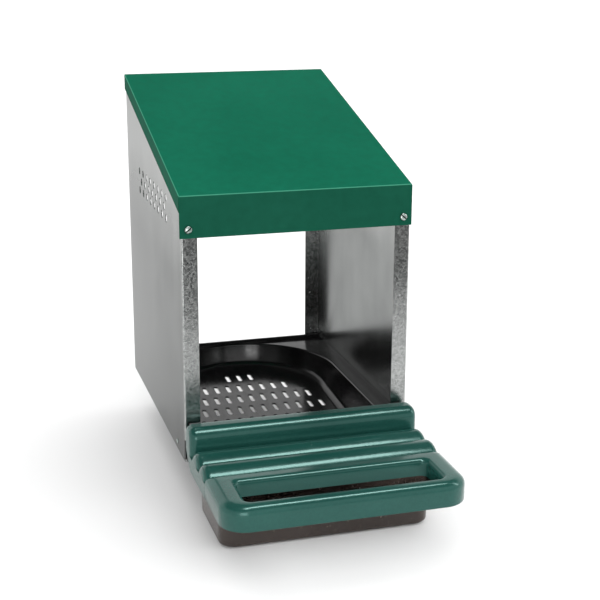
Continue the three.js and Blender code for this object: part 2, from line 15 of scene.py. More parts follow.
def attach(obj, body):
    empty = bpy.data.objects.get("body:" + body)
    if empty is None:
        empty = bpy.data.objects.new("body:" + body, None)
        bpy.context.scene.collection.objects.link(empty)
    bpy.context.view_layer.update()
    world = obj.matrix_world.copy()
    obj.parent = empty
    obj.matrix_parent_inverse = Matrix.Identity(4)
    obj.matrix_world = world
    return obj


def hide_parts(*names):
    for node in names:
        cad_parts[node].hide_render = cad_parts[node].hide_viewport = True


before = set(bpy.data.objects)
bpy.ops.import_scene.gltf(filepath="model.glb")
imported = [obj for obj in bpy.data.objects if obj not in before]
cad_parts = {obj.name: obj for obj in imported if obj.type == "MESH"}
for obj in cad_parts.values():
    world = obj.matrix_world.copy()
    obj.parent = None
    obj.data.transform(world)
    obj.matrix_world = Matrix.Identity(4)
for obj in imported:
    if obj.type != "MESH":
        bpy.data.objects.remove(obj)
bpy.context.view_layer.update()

# Body
HALF = 150.0
DEPTH = 390.0
REAR_HEIGHT = 450.0
FRONT_HEIGHT = 345.0
SLOPE = (REAR_HEIGHT - FRONT_HEIGHT) / DEPTH
SHEET = 1.0
GAP = 0.3
PANEL_OUTER = HALF - SHEET - GAP
PANEL_INNER = PANEL_OUTER - SHEET
FLANGE_FACE_Y = SHEET + GAP
REAR_FACE_Y = DEPTH - SHEET - GAP
FRONT_FLANGE = 22.0
REAR_FLANGE = 24.0
BOTTOM_FLANGE = 15.0
FLANGE_FOOT = 52.0
FOLD = 2.5
FASCIA = 53.0
LIP = 22.0
RELIEF = 3.0
SCREW_INSET = 11.0
SCREW_X = HALF - SCREW_INSET
SCREW_Z = FRONT_HEIGHT - FASCIA + SCREW_INSET
SCREW_HEAD = 4.7
SCREW_HEAD_HEIGHT = 2.4
SCREW_HOLE = 2.55
NUT_THICK = 3.8
RIVET_HEAD = 3.4
RIVET_HEAD_HEIGHT = 0.9
RIVET_HOLE = 2.35
WALL_HOLE = 3.2
WALL_HOLES_Z = (240, 400)
TIE_RIVET_X = 136
TIE_RIVET_Z = 12
TIE_LOW_Z = 2
TIE_HIGH_Z = 22
TIE_LEDGE = 9
VENT_RADIUS = 5.2
VENT_PITCH = 27.8
VENT_CENTRE_Y = 190
# Vents in each row, and the row's height.
VENT_ROWS = ((8, 325.0), (7, 311.5), (8, 298.0))

# Tray
BOWL_RADIUS = 128.0
BOWL_CENTRE_Y = 252.0
DRAFT = math.atan(14.0 / 51.0)
RIM_Z = 25.0
UPSTAND_Z = 30.5
FLOOR_FRONT_Z = -26.0
FLOOR_REAR_Z = -6.0
TRAY_HALF = 147.3
TRAY_FRONT = 4.5
TRAY_REAR = 384
TRAY_WALL = 2.5
BOWL_OUTER_FILLET = 14.5
BOWL_INNER_FILLET = 12.0
BOWL_LIP_ROUND = 2.4
TONGUE_END = -19
TONGUE_SIDE_Z = -14
TAB_OUTER = 148.4
TAB_INNER = 146
TAB_LOW_Z = 3.5
TAB_HIGH_Z = 29
SLOT_PITCH = 17.4
SLOT_ROW_PITCH = 39.5
SLOT_FIRST_ROW_Y = 320
SLOT_ROWS = 8
SLOT_RADIUS = 3
SLOT_HALF_STRAIGHT = 10
SLOT_FIELD_HALF_WIDTH = 97
SLOT_FIELD_CENTRE_Y = 213
SLOT_FIELD_REACH = 113

# Perch
PIVOT_Y = -22.0
PIVOT_Z = 44.0
PERCH_LOW = 3.0
PERCH_WALL = 3
NECK_RADIUS = 14
NECK_REAR_Y = -4
NECK_FRONT_Y = -40
STEP_ROLL_RADIUS = 26
STEP_ROLL_CENTRE_Z = 10
STEP_ROLLS_Y = (-60.0, -98.0)
ROLL_END_ROUND = 9.5
FRAME_REAR_Y = -116.0
FRAME_FRONT_Y = -221.0
FRAME_BAR = 30.0
FRAME_FRONT_BAR = 17.0
FRAME_SPRING_Z = 22.0
FRAME_CREST_Z = 33.5
FRAME_FRONT_CORNER = 32
FRAME_REAR_CORNER = 5
OPENING_CORNER = 9
RIB_X = (-75.0, 0.0, 75.0)
RIB_HALF_THICK = 1.25

# Hinge and brackets
ROD_HALF_LENGTH = 146.5
ROD_RADIUS = 3
ROD_LENGTH = 2 * ROD_HALF_LENGTH
ROD_CHAMFER = 0.5
ROD_BORE = 3.35
BRACKET_BORE = 3.5
BRACKET_OUTER = 142.2
BRACKET_INNER = 138.2
BRACKET_BOSS = 9
BRACKET_REAR = 66
BRACKET_END = -130
BRACKET_LOW_Z = -8
BRACKET_TOP_Z = 19
BRACKET_FOOT_Z = 1.6
BRACKET_RIVET_Y = 50
BRACKET_RIVET_Z = 10
LEDGE_TOP_Z = -5.4
CLIP_OUTER = 137.5
CLIP_INNER = 136.3

# Egg tub
TUB_HALF = 135.0
TUB_FRONT_Y = -135.0
TUB_REAR_Y = -14.5
TUB_TOP_Z = -2.6
TUB_BOTTOM_Z = -60.0
TUB_DRAFT = 1.5
TUB_WALL = 2.2
TUB_FLANGE = 2.9
TUB_CORNER = 18
TUB_REAR_CORNER = 12
TUB_FOOT_ROUND = 5.5
DIP_HALF = 122
DIP_TOP_Z = 5
DIP_ROUND = 8


# ---------------------------------------------------------------- shapes


def make(name, points, faces):
    """A mesh object from points in millimetres, with its faces turned outwards."""
    mesh = bpy.data.meshes.new(name)
    mesh.from_pydata([tuple(p) for p in points], [], [tuple(f) for f in faces])
    work = bmesh.new()
    work.from_mesh(mesh)
    bmesh.ops.recalc_face_normals(work, faces=work.faces)
    work.to_mesh(mesh)
    work.free()
    obj = bpy.data.objects.new(name, mesh)
    bpy.context.scene.collection.objects.link(obj)
    return obj


def skin(rings, closed=False):
    """Joins rings of points one after another; open stacks are capped, closed ones run round."""
    count, levels = len(rings[0]), len(rings)
    faces = []
    for level in range(levels if closed else levels - 1):
        low, high = level * count, ((level + 1) % levels) * count
        for i in range(count):
            j = (i + 1) % count
            faces.append((low + i, low + j, high + j, high + i))
    if not closed:
        faces.append(tuple(reversed(range(count))))
        faces.append(tuple(range((levels - 1) * count, levels * count)))
    return make("work", [p for ring in rings for p in ring], faces)


def prism_x(outline, low, high):
    """A solid whose (y, z) outline runs along X."""
    return skin([[(x, y, z) for y, z in outline] for x in (low, high)])


def prism_z(outline, low, high):
    """A solid whose (x, y) outline runs along Z."""
    return skin([[(x, y, z) for x, y in outline] for z in (low, high)])


def box(x0, x1, y0, y1, z0, z1):
    """A block between its limits on the three axes."""
    return prism_z([(x0, y0), (x1, y0), (x1, y1), (x0, y1)], z0, z1)


def arc(cx, cy, radius, start, end, steps):
    """Points along an arc, its angles in degrees."""
    angles = [math.radians(start + (end - start) * i / steps) for i in range(steps + 1)]
    return [(cx + radius * math.cos(a), cy + radius * math.sin(a)) for a in angles]


def rod_x(radius, x0, x1, y, z, sides=40):
    """A round bar along X."""
    return prism_x(arc(y, z, radius, 0, 360 - 360 / sides, sides - 1), x0, x1)


def rod_y(radius, y0, y1, x, z):
    """A round bar along Y."""
    sides = 32
    circle = arc(x, z, radius, 0, 360 - 360 / sides, sides - 1)
    return skin([[(px, y, pz) for px, pz in circle] for y in (y0, y1)])


def turned(profile, axis, at, sides=40):
    """A solid of revolution; the profile's (radius, height) pairs run along axis from the point at."""
    direction = Vector(axis)
    turn = direction.to_track_quat("Z", "Y").to_matrix()
    rings = []
    for radius, height in profile:
        ring = arc(0, 0, max(radius, 0.01), 0, 360 - 360 / sides, sides - 1)
        rings.append([turn @ Vector((u, v, height)) + Vector(at) for u, v in ring])
    return skin(rings)


def rounded_rectangle(half, front, rear, front_radius, rear_radius, steps):
    """An outline from above with rounded corners."""
    return [
        *arc(-half + front_radius, front + front_radius, front_radius, 180, 270, steps),
        *arc(half - front_radius, front + front_radius, front_radius, 270, 360, steps),
        *arc(half - rear_radius, rear - rear_radius, rear_radius, 0, 90, steps),
        *arc(-half + rear_radius, rear - rear_radius, rear_radius, 90, 180, steps),
    ]


def combine(operation, base, *tools):
    """Joins base with the tools, or cuts them from it, and removes the tools."""
    for tool in tools:
        step = base.modifiers.new("step", "BOOLEAN")
        step.operation, step.solver, step.object = operation, "MANIFOLD", tool
    bpy.context.view_layer.update()
    graph = bpy.context.evaluated_depsgraph_get()
    mesh = bpy.data.meshes.new_from_object(base.evaluated_get(graph))
    base.modifiers.clear()
    base.data = mesh
    for tool in tools:
        bpy.data.objects.remove(tool)
    return base


def join(base, *others):
    """Makes one solid of several."""
    return combine("UNION", base, *others)


def cut(base, *tools):
    """Takes the tools out of base."""
    return combine("DIFFERENCE", base, *tools)


def place(obj, name, body, material, slot, *nodes, angle=32):
    """Moves a finished piece to the row frame and lets it stand for its CAD nodes.

    Edges sharper than angle, in degrees, stay sharp.
    """
    obj.name = obj.data.name = name
    move = Matrix.Scale(0.001, 4) @ Matrix.Translation((0, -DEPTH, -(REAR_HEIGHT - LIP / 2)))
    obj.data.transform(move)
    for face in obj.data.polygons:
        face.use_smooth = True
    obj.data.set_sharp_from_angle(angle=math.radians(angle))
    obj.data.materials.clear()
    obj.data.materials.append(material)
    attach(obj, body)
    if nodes:
        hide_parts(*nodes)
    return obj


# ---------------------------------------------------------------- materials


class Shader:
    """A Principled material and a few helpers for the nodes that vary it."""

    def __init__(self, name, **sockets):
        self.material = bpy.data.materials.new(name)
        self.material.use_nodes = True
        self.nodes = self.material.node_tree.nodes
        self.links = self.material.node_tree.links
        self.surface = self.nodes["Principled BSDF"]
        for key, value in sockets.items():
            self.surface.inputs[key.replace("_", " ")].default_value = value
        self.place = self.nodes.new("ShaderNodeTexCoord").outputs["Object"]

    def mapped(self, scale):
        """The object's coordinates, stretched along each axis."""
        node = self.nodes.new("ShaderNodeMapping")
        node.inputs["Scale"].default_value = scale
        self.links.new(self.place, node.inputs["Vector"])
        return node.outputs["Vector"]

    def noise(self, scale, detail, stretch=(1, 1, 1)):
        """Soft noise, 0 to 1."""
        node = self.nodes.new("ShaderNodeTexNoise")
        node.inputs["Scale"].default_value = scale
        node.inputs["Detail"].default_value = detail
        self.links.new(self.mapped(stretch), node.inputs["Vector"])
        return node.outputs["Fac"]

    def cells(self, scale):
        """Cells of one random colour each."""
        node = self.nodes.new("ShaderNodeTexVoronoi")
        node.inputs["Scale"].default_value = scale
        self.links.new(self.mapped((1, 1, 1)), node.inputs["Vector"])
        return node.outputs["Color"]

    def ramp(self, source, low, high, start=0.0, end=1.0):
        """Maps source from start..end to low..high, as numbers or as colours."""
        if isinstance(low, tuple):
            node = self.nodes.new("ShaderNodeValToRGB")
            first, last = node.color_ramp.elements
            first.position, last.position = start, end
            first.color, last.color = (*low, 1), (*high, 1)
            self.links.new(source, node.inputs["Fac"])
            return node.outputs["Color"]
        node = self.nodes.new("ShaderNodeMapRange")
        for key, value in (("From Min", start), ("From Max", end), ("To Min", low), ("To Max", high)):
            node.inputs[key].default_value = value
        self.links.new(source, node.inputs["Value"])
        return node.outputs["Result"]

    def facing(self, axis):
        """How squarely the surface faces along one of the object's axes, 0 to 1."""
        node = self.nodes.new("ShaderNodeSeparateXYZ")
        self.links.new(self.nodes.new("ShaderNodeTexCoord").outputs["Normal"], node.inputs["Vector"])
        return self.math("ABSOLUTE", node.outputs[axis], 0.0)

    def along(self, axis):
        """Place along one of the object's axes, in metres."""
        node = self.nodes.new("ShaderNodeSeparateXYZ")
        self.links.new(self.place, node.inputs["Vector"])
        return node.outputs[axis]

    def mix(self, kind, first, second):
        """Blends two colours in full; the sockets are found by place, since their names repeat."""
        node = self.nodes.new("ShaderNodeMix")
        node.data_type = "RGBA"
        node.blend_type = kind
        factor, colour_a, colour_b, result = 0, 6, 7, 2
        node.inputs[factor].default_value = 1.0
        self.links.new(first, node.inputs[colour_a])
        self.links.new(second, node.inputs[colour_b])
        return node.outputs[result]

    def math(self, kind, first, second):
        """A sum, product or the like of sockets and numbers."""
        node = self.nodes.new("ShaderNodeMath")
        node.operation = kind
        for socket, value in zip(node.inputs, (first, second)):
            if isinstance(value, (int, float)):
                socket.default_value = value
            else:
                self.links.new(value, socket)
        return node.outputs["Value"]

    def height(self, source, strength, distance):
        """Bumps the surface by source."""
        node = self.nodes.new("ShaderNodeBump")
        node.inputs["Strength"].default_value = strength
        node.inputs["Distance"].default_value = distance
        self.links.new(source, node.inputs["Height"])
        self.links.new(node.outputs["Normal"], self.surface.inputs["Normal"])

    def drive(self, socket, source):
        """Links source to one of the material's inputs."""
        self.links.new(source, self.surface.inputs[socket])


def galvanised():
    """Zinc with rolling streaks and bloom.

    Crystals show where the sheet faces the front or back; walls are smoother, and carry painted light that
    makes them paler higher up.
    """
    s = Shader("galvanised", Metallic=1.0, Roughness=0.3, Specular_Tint=(0.5, 0.5, 0.5, 1))
    crystals = s.math("MULTIPLY", s.cells(380.0), 0.5)
    flakes = s.math("MULTIPLY", s.cells(800.0), 0.3)
    spangle = s.math("SUBTRACT", s.math("ADD", crystals, flakes), 0.4)
    folded = s.ramp(s.facing("Y"), 0.0, 1.0, 0.2, 0.9)
    spangle = s.math("MULTIPLY", spangle, folded)
    # Painted reflection: the walls are made paler towards the top, where they reflect brighter
    # surroundings.
    upper = s.ramp(s.along("Z"), 0.0, 0.9, -0.2, -0.02)
    pale = s.math("MULTIPLY", upper, s.math("SUBTRACT", 1.0, folded))
    streaks = s.math("MULTIPLY", s.noise(30.0, 3.0, (0.4, 1.0, 0.15)), 0.22)
    bloom = s.math("MULTIPLY", s.noise(13.0, 4.0), 0.38)
    grain = s.math("ADD", spangle, s.math("ADD", streaks, bloom))
    tone = s.math("ADD", grain, pale)
    brightest = 0.9
    s.drive("Base Color", s.ramp(tone, (0.18, 0.188, 0.186), (0.62, 0.63, 0.62), 0.0, brightest))
    s.drive("Roughness", s.ramp(tone, 0.16, 0.32, 0.0, brightest))
    s.height(grain, 0.2, 0.0002)
    return s.material


def bright_zinc():
    """Plated steel with haze and stains; a screw head is painted dark with shade where it meets the fascia.
    """
    s = Shader("bright_zinc", Metallic=1.0, Roughness=0.25)
    haze = s.noise(900.0, 4.0)
    stain = s.noise(160.0, 3.0)
    plate = s.ramp(stain, (0.28, 0.34, 0.32), (0.46, 0.53, 0.5), 0.3, 0.7)
    depth = s.along("Y")
    fascia = -DEPTH / 1000
    # Painted shade: a dark band round the foot of the screw head, next to the fascia.
    foot = s.ramp(depth, 0.0, 1.0, fascia - 0.0018, fascia - 0.0014)
    painted_contact_shade = s.math("MULTIPLY", foot, s.ramp(depth, 1.0, 0.0, fascia - 0.0002, fascia))
    shaded_head_tint = s.ramp(painted_contact_shade, (1.0, 1.0, 1.0), (0.12, 0.14, 0.13))
    s.drive("Base Color", s.mix("MULTIPLY", plate, shaded_head_tint))
    s.drive("Roughness", s.ramp(haze, 0.16, 0.42, 0.3, 0.7))
    s.height(haze, 0.1, 0.0001)
    return s.material


def cap_paint():
    """Green coating with a fine orange-peel skin and slight wash-outs.

    Its folds carry a painted highlight, and its upright faces are painted darker and a little redder as
    painted shade.
    """
    s = Shader("cap_paint", Roughness=0.5, IOR=1.5, Specular_IOR_Level=0.004)
    peel = s.noise(750.0, 2.0)
    wash = s.noise(7.0, 5.0)
    dust = s.noise(90.0, 6.0)
    base = s.ramp(wash, (0.005, 0.116, 0.065), (0.0065, 0.134, 0.076), 0.3, 0.7)
    worn = s.ramp(dust, (0.9, 0.9, 0.9), (1.06, 1.06, 1.06), 0.25, 0.75)
    level = s.facing("Z")
    # Painted shade: upright faces are tinted darker and a little redder than the sloping top.
    upright = s.ramp(level, (1.8, 0.76, 0.82), (1.0, 1.0, 1.0), 0.1, 0.6)
    # Painted highlight: the bends between the top and the upright faces are made lighter.
    fold_highlight_mask = s.math("MULTIPLY", s.ramp(level, 0.0, 1.0, 0.1, 0.4), s.ramp(level, 1.0, 0.0, 0.6, 0.9))
    painted_fold_highlight = s.ramp(fold_highlight_mask, (0.0, 0.0, 0.0), (0.06, 0.2, 0.14))
    base = s.mix("MULTIPLY", s.mix("MULTIPLY", base, worn), upright)
    s.drive("Base Color", s.mix("ADD", base, painted_fold_highlight))
    s.drive("Roughness", s.ramp(dust, 0.44, 0.56, 0.3, 0.7))
    s.height(peel, 0.05, 0.0001)
    return s.material


def perch_plastic():
    """Glossy green moulding with flow marks and a slightly uneven skin."""
    s = Shader("perch_plastic", Roughness=0.2, IOR=1.52, Specular_Tint=(0.62, 1.0, 0.93, 1))
    flow = s.noise(16.0, 4.0, (0.35, 1.6, 1.0))
    grain = s.noise(420.0, 4.0)
    base = s.ramp(flow, (0.008, 0.054, 0.044), (0.014, 0.078, 0.064), 0.3, 0.7)
    speck = s.ramp(grain, (0.92, 0.92, 0.92), (1.06, 1.06, 1.06), 0.3, 0.7)
    s.drive("Base Color", s.mix("MULTIPLY", base, speck))
    s.drive("Roughness", s.ramp(grain, 0.13, 0.26, 0.3, 0.7))
    s.height(flow, 0.1, 0.0012)
    return s.material


def tray_plastic():
    """Glossy black moulding; dust and scuffs dull it in patches."""
    s = Shader("tray_plastic", Roughness=0.15, IOR=1.5)
    dust = s.noise(30.0, 6.0)
    scuff = s.noise(240.0, 5.0, (1.0, 0.2, 1.0))
    s.drive("Base Color", s.ramp(dust, (0.006, 0.006, 0.0065), (0.014, 0.014, 0.014), 0.35, 0.75))
    s.drive("Roughness", s.ramp(scuff, 0.1, 0.24, 0.3, 0.75))
    s.height(dust, 0.05, 0.0006)
    return s.material


def bracket_plastic():
    """Matt black moulding with a fine grain."""
    s = Shader("bracket_plastic", Roughness=0.45, IOR=1.5)
    grain = s.noise(700.0, 4.0)
    patch = s.noise(60.0, 4.0)
    s.drive("Base Color", s.ramp(patch, (0.008, 0.008, 0.008), (0.02, 0.02, 0.02), 0.3, 0.7))
    s.drive("Roughness", s.ramp(grain, 0.35, 0.55, 0.3, 0.7))
    s.height(grain, 0.15, 0.0001)
    return s.material


def tub_plastic():
    """Smoked brown moulding, a little translucent, glossy with soft handling marks."""
    s = Shader(
        "tub_plastic", Roughness=0.22, IOR=1.5, Specular_IOR_Level=0.35, Transmission_Weight=0.68
    )
    cloud = s.noise(14.0, 4.0)
    marks = s.noise(300.0, 5.0)
    s.drive("Base Color", s.ramp(cloud, (0.105, 0.078, 0.066), (0.145, 0.112, 0.098), 0.3, 0.7))
    s.drive("Roughness", s.ramp(marks, 0.2, 0.28, 0.3, 0.7))
    s.height(cloud, 0.08, 0.001)
    return s.material


ZINC = galvanised()
BRIGHT = bright_zinc()
PAINT = cap_paint()
GREEN = perch_plastic()
BLACK = tray_plastic()
BRACKET = bracket_plastic()
BROWN = tub_plastic()


# ---------------------------------------------------------------- sheet metal


def roof_z(y):
    """Height of the cap's sloping top."""
    return FRONT_HEIGHT + SLOPE * y


def panel(side):
    """One side panel: a wall with folded flanges, vents, and holes for its fasteners."""
    front, rear = FLANGE_FACE_Y + FOLD, REAR_FACE_Y - FOLD
    cx = PANEL_OUTER - FOLD
    inner = FOLD - SHEET
    plan = [
        (HALF - FRONT_FLANGE, FLANGE_FACE_Y),
        *arc(cx, front, FOLD, 270, 360, 10),
        *arc(cx, rear, FOLD, 0, 90, 10),
        (HALF - REAR_FLANGE, REAR_FACE_Y),
        (HALF - REAR_FLANGE, REAR_FACE_Y - SHEET),
        *arc(cx, rear, inner, 90, 0, 10),
        *arc(cx, front, inner, 0, -90, 10),
        (HALF - FRONT_FLANGE, FLANGE_FACE_Y + SHEET),
    ]
    wall = prism_z([(side * x, y) for x, y in plan], 0, REAR_HEIGHT)
    bend, foot_front, foot_rear = 1.6, 20, 365
    foot = [
        (PANEL_OUTER - BOTTOM_FLANGE, 0),
        *[(x, z) for x, z in arc(PANEL_OUTER - bend, bend, bend, 270, 360, 6)],
        (PANEL_OUTER - SHEET / 2, bend),
        (PANEL_OUTER - SHEET / 2, SHEET),
        (PANEL_OUTER - BOTTOM_FLANGE, SHEET),
    ]
    wall = join(wall, skin([[(side * x, y, z) for x, z in foot] for y in (foot_front, foot_rear)]))
    below_cap = 1.4 * SHEET
    past = 5
    above = [
        (-past, roof_z(-past) - below_cap),
        (DEPTH + past, roof_z(DEPTH + past) - below_cap),
        (DEPTH + past, REAR_HEIGHT + 50),
        (-past, REAR_HEIGHT + 50),
    ]
    flange_end = FLANGE_FACE_Y + SHEET + GAP
    through = sorted((side * 146, side * HALF))
    tools = [
        prism_x(above, *sorted((side * 90, side * 155))),
        box(*sorted((side * 90, side * 142.5)), 0, flange_end, -1, FLANGE_FOOT),
        box(*sorted((side * 145.7, side * HALF)), 0, 6, 3.2, 29.3),
        rod_y(SCREW_HOLE, 0, past, side * SCREW_X, SCREW_Z),
        rod_y(RIVET_HOLE, DEPTH - past, DEPTH, side * TIE_RIVET_X, TIE_RIVET_Z),
        *[rod_y(WALL_HOLE, DEPTH - past, DEPTH, side * TIE_RIVET_X, z) for z in WALL_HOLES_Z],
        rod_x(RIVET_HOLE, *through, BRACKET_RIVET_Y, BRACKET_RIVET_Z),
    ]
    for count, z in VENT_ROWS:
        for i in range(count):
            y = VENT_CENTRE_Y + (i - (count - 1) / 2) * VENT_PITCH
            tools.append(rod_x(VENT_RADIUS, *through, y, z, 28))
    return cut(wall, *tools)


def cap():
    """The cap: a folded sheet with a fascia, two side lips and a rear lip."""
    bend, lean = 2.2, math.degrees(math.atan(SLOPE))
    thin = bend - SHEET
    # Fold centres lie bend below the sloped top and bend behind the upright faces.
    drop = bend * math.hypot(1, SLOPE)
    front = (bend, roof_z(bend) - drop)
    rear = (DEPTH - bend, roof_z(DEPTH - bend) - drop)
    band = [
        (0, FRONT_HEIGHT - FASCIA),
        *arc(*front, bend, 180, 90 + lean, 8),
        *arc(*rear, bend, 90 + lean, 0, 10),
        (DEPTH, REAR_HEIGHT - LIP),
        (DEPTH - SHEET, REAR_HEIGHT - LIP),
        *arc(*rear, thin, 0, 90 + lean, 10),
        *arc(*front, thin, 90 + lean, 180, 8),
        (SHEET, FRONT_HEIGHT - FASCIA),
    ]
    shape = prism_x(band, -HALF, HALF)
    lip_top, edge_round, clear = -0.4, 2, 3
    for side in (-1, 1):
        ends = (RELIEF, DEPTH - RELIEF)
        outer, inner = side * HALF, side * (HALF - SHEET)
        lip = [(outer, -LIP), (outer, lip_top), (inner, lip_top), (inner, -LIP)]
        shape = join(shape, skin([[(x, y, roof_z(y) + z) for x, z in lip] for y in ends]))
        corner = [(side * x, z) for x, z in arc(HALF - edge_round, -edge_round, edge_round, 0, 90, 8)]
        corner += [(side * (HALF - edge_round), clear), (side * (HALF + clear), clear)]
        corner.append((side * (HALF + clear), -edge_round))
        shape = cut(
            shape,
            skin([[(x, y, roof_z(y) + z) for x, z in corner] for y in (-1, DEPTH + 1)]),
            rod_y(SCREW_HOLE, -1, 1.2, side * SCREW_X, SCREW_Z),
        )
    return shape


def tie_bar():
    """The angle between the rear flanges."""
    back, corner = REAR_FACE_Y - SHEET - GAP, 1.8
    section = [
        (back, TIE_HIGH_Z), (back - SHEET, TIE_HIGH_Z),
        *arc(back - corner, TIE_LOW_Z + corner, corner - SHEET, 0, -90, 6),
        (back - TIE_LEDGE, TIE_LOW_Z + SHEET), (back - TIE_LEDGE, TIE_LOW_Z),
        *arc(back - corner, TIE_LOW_Z + corner, corner, 270, 360, 6),
    ]
    end = 2.5
    bar = prism_x(section, -PANEL_INNER + end, PANEL_INNER - end)
    holes = [rod_y(RIVET_HOLE, back - 4, back + 1, side * TIE_RIVET_X, TIE_RIVET_Z) for side in (-1, 1)]
    return cut(bar, *holes)


# ---------------------------------------------------------------- fasteners


def roof_screw(side):
    """A pan-head screw with a domed rim and a straight slot."""
    x, head = side * SCREW_X, SCREW_HEAD_HEIGHT
    rim = 0.7
    angles = [math.radians(9 * i) for i in range(10)]
    crown = [(SCREW_HEAD * math.cos(a), rim + (head - rim) * math.sin(a)) for a in angles]
    profile = [(4.5, 0), (SCREW_HEAD, 0.25), *crown, (0.2, head)]
    screw = turned(profile, (0, -1, 0), (x, -GAP, SCREW_Z))
    slot = box(-7, 7, -head - 1, -head + 1.3, -0.9, 0.9)
    turn = Matrix.Rotation(math.radians(side * 40), 4, "Y")
    slot.data.transform(Matrix.Translation((x, -GAP, SCREW_Z)) @ turn)
    shank = turned([(2.2, 0), (2.2, 8.6), (1.7, 9.3)], (0, 1, 0), (x, -GAP - 0.3, SCREW_Z), 28)
    return join(cut(screw, slot), shank)


def roof_nut(side):
    """A hexagon nut behind the front flange, its corners chamfered."""
    front = FLANGE_FACE_Y + SHEET + GAP
    x = side * SCREW_X
    corners = arc(0, 0, 4.6, 0, 300, 5)
    hexagon = [[(x + u, y, SCREW_Z + v) for u, v in corners] for y in (front, front + NUT_THICK)]
    chamfered = [(4.1, 0), (4.62, 0.5), (4.62, 3.3), (4.1, NUT_THICK)]
    blank = turned(chamfered, (0, 1, 0), (x, front, SCREW_Z))
    nut = combine("INTERSECT", skin(hexagon), blank)
    return cut(nut, rod_y(SCREW_HOLE, front - 1, front + 5, x, SCREW_Z))


def dome(radius, height):
    """The profile of a domed head, from its rim to its top."""
    steps = 7
    angles = [math.pi / 2 * i / steps for i in range(steps + 1)]
    return [(radius * math.cos(a), height * math.sin(a)) for a in angles]


def rivet(axis, start, length, at):
    """A shank between two domed heads, from start along axis; at gives its centre line."""
    direction = Vector(axis)
    centre = Vector(at)
    head = dome(RIVET_HEAD, RIVET_HEAD_HEIGHT)
    shank = turned([(2, -0.4), (2, length + 0.4)], direction, centre + direction * start, 28)
    near = turned(head, -direction, centre + direction * start, 28)
    far = turned(head, direction, centre + direction * (start + length), 28)
    return join(shank, near, far)


def rod():
    """The hinge rod, its ends chamfered."""
    profile = [
        (ROD_RADIUS - ROD_CHAMFER, 0), (ROD_RADIUS, ROD_CHAMFER),
        (ROD_RADIUS, ROD_LENGTH - ROD_CHAMFER), (ROD_RADIUS - ROD_CHAMFER, ROD_LENGTH),
    ]
    return turned(profile, (1, 0, 0), (-ROD_HALF_LENGTH, PIVOT_Y, PIVOT_Z))


def clip(side):
    """A retaining ring with a gap at the bottom, snapped on the rod beside its bracket."""
    low, high = sorted((side * CLIP_OUTER, side * CLIP_INNER))
    edge = [(5.9, 0), (6.4, 0.25), (6.4, 0.95), (5.9, 1.2)]
    ring = turned(edge, (1, 0, 0), (low, PIVOT_Y, PIVOT_Z), 48)
    ring = cut(ring, rod_x(ROD_BORE, low - 1, high + 1, PIVOT_Y, PIVOT_Z))
    return cut(ring, box(low - 1, high + 1, PIVOT_Y - 1.6, PIVOT_Y + 1.6, PIVOT_Z - 9, PIVOT_Z - 3))


# ---------------------------------------------------------------- tray


def floor_z(y):
    """Height of the bowl's floor, which falls towards the front."""
    return FLOOR_FRONT_Z + (FLOOR_REAR_Z - FLOOR_FRONT_Z) * y / (BOWL_CENTRE_Y + BOWL_RADIUS)


def bowl_edge(front):
    """The bowl's outline from above as (point, inward normal) pairs."""
    edge = [((-BOWL_RADIUS, front), (1, 0)), ((BOWL_RADIUS, front), (-1, 0))]
    for x, y in arc(0, 0, 1, 0, 180, 72):
        edge.append(((BOWL_RADIUS * x, BOWL_CENTRE_Y + BOWL_RADIUS * y), (-x, -y)))
    return edge


def bowl(front, grow, fillet, top, rounding=0.0):
    """The bowl's drafted wall with a filleted foot on the sloping floor, closed above at top.

    grow moves the surface outwards; rounding flares the upper edge out to the rim.
    """
    lean, sink = math.tan(DRAFT), RIM_Z
    rings = []
    if rounding:
        rings.append(("fixed", -rounding, top))
        for i in range(7):
            a = math.pi / 2 * i / 6
            inset, z = -rounding + rounding * math.sin(a), RIM_Z - rounding + rounding * math.cos(a)
            rings.append(("fixed", inset, z))
        sink = RIM_Z - rounding
    else:
        rings.append(("fixed", -(top - RIM_Z) * lean, top))
    for i in range(10):
        rings.append(("fillet", DRAFT + (math.pi / 2 - DRAFT) * i / 9, 0))
    levels = []
    for kind, a, b in rings:
        level = []
        for (x, y), (nx, ny) in bowl_edge(front):
            inset, z = a, b
            if kind == "fillet":
                # The floor slopes, so the fillet's foot is found by a few repeats.
                foot = y
                for _ in range(4):
                    base = floor_z(foot) - grow
                    centre = base + fillet
                    middle = (sink - centre + fillet * math.sin(DRAFT)) * lean + fillet * math.cos(DRAFT)
                    foot = y + ny * (middle - grow)
                inset = middle - fillet * math.cos(a)
                z = centre - fillet * math.sin(a)
            inset -= grow
            level.append((x + nx * inset, y + ny * inset, z))
        levels.append(level)
    return skin(levels)


def slots():
    """Rows of long slots through the floor, every other row moved by half a pitch."""
    tools = []
    for row in range(SLOT_ROWS):
        y = SLOT_FIRST_ROW_Y - SLOT_ROW_PITCH * row
        beyond = max(0.0, y - SLOT_FIELD_CENTRE_Y) / SLOT_FIELD_REACH
        room = SLOT_FIELD_HALF_WIDTH * math.sqrt(1 - beyond * beyond)
        shift = 0 if row % 2 == 0 else SLOT_PITCH / 2
        for i in range(-8, 9):
            x = shift + i * SLOT_PITCH
            if abs(x) < room:
                outline = [
                    *arc(x, y + SLOT_HALF_STRAIGHT, SLOT_RADIUS, 0, 180, 10),
                    *arc(x, y - SLOT_HALF_STRAIGHT, SLOT_RADIUS, 180, 360, 10),
                ]
                tools.append(prism_z(outline, -50, 0))
    return join(*tools)


